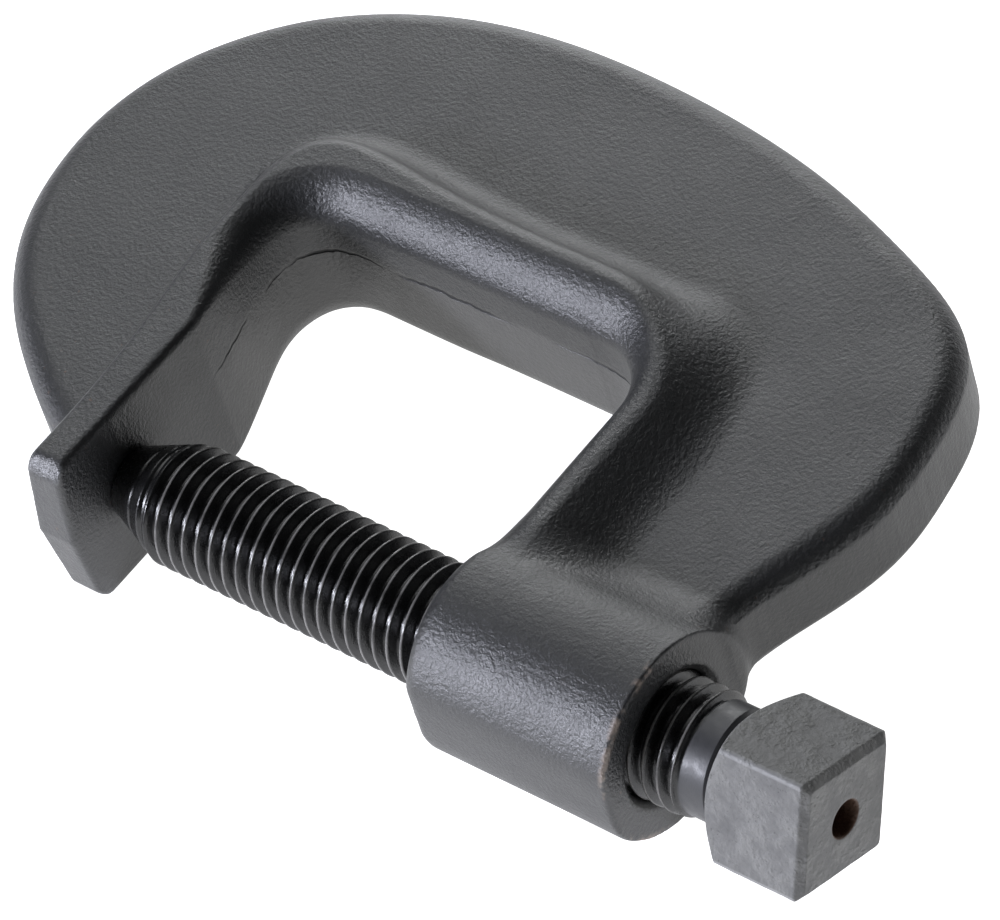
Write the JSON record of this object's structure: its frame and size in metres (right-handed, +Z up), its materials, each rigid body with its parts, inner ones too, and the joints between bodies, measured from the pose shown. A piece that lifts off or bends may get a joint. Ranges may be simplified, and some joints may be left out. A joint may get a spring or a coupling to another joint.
{
  "type": "c clamp",
  "caption": "Heavy full-closing C clamp: drop-forged frame with a T-section rib round the throat, flat anvil and tapped boss, and a square-head clamp screw with a conical nose.",
  "frame": {"origin": "On the screw axis, in the anvil's flat face (mount anvil_face).", "axes": "+X along the screw from the anvil to the wrench head, +Y from the screw to the spine, +Z up through the thickness with the clamp lying on its side."},
  "size_m": [0.1763, 0.1105, 0.0314],
  "materials": {
    "forging": "black-oxide drop-forged steel, matt, fine orange-peel grain",
    "screw_steel": "black-oxide machined steel, oiled; head duller and pitted"
  },
  "bodies": {
    "frame": {"frame": "forging"},
    "nose": {"screw_nose": "screw_steel"},
    "screw": {"clamp_screw": "screw_steel"}
  },
  "joints": [
    {"name": "screw_feed", "type": "slide", "parent": "frame", "child": "nose", "axis": [1, 0, 0], "range_m": [0, 0.0603]},
    {"name": "screw_turn", "type": "hinge", "parent": "nose", "child": "screw", "pos_m": [0.0058, 0, 0], "axis": [1, 0, 0], "range_deg": [0, 8550]}
  ],
  "couplings": [
    {"joint": "screw_turn", "follows": "screw_feed", "rad_per_m": 2473.7}
  ]
}
